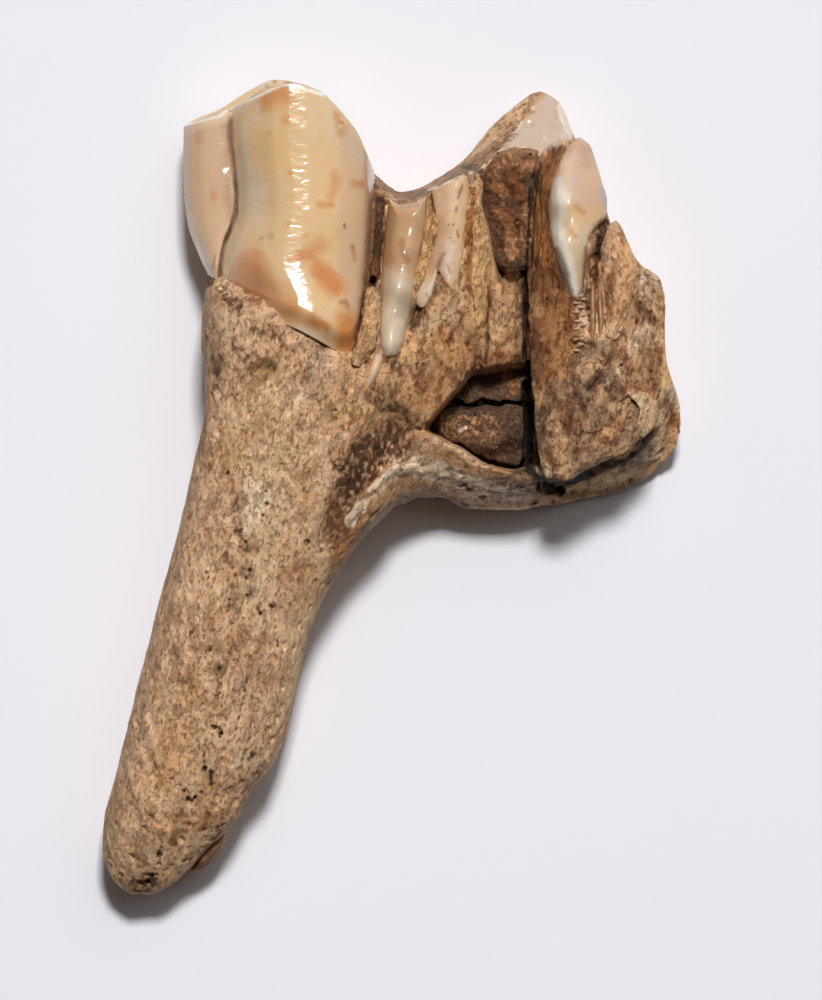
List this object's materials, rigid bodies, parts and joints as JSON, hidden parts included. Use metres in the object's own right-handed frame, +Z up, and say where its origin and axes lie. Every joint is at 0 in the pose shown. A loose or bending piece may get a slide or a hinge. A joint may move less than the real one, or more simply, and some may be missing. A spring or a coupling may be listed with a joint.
{
  "type": "fossil ibex molar",
  "caption": "Broken fossil lower molar of an ibex, lying on its side: glossy enamel lobe, split back lobe with an earth-filled hollow, and a long rough root.",
  "frame": {"origin": "on the surface that the tooth lies on, under the middle of its bounding box", "axes": "+Z up, from the tongue side that it lies on to the cheek side; +Y along the tooth from the root's broken tip to the chewing edge; +X from the front lobe to the broken back lobe"},
  "size_m": [0.0312, 0.0442, 0.0106],
  "materials": {
    "bone": "matt pitted root and dentine, glossy enamel on the crown",
    "earth": "matt, dried and cracked",
    "fossette_earth": "matt, crumbly"
  },
  "bodies": {
    "root": {"molar": "bone", "cavity_earth": "earth", "fossette_earth": "fossette_earth"}
  },
  "joints": []
}
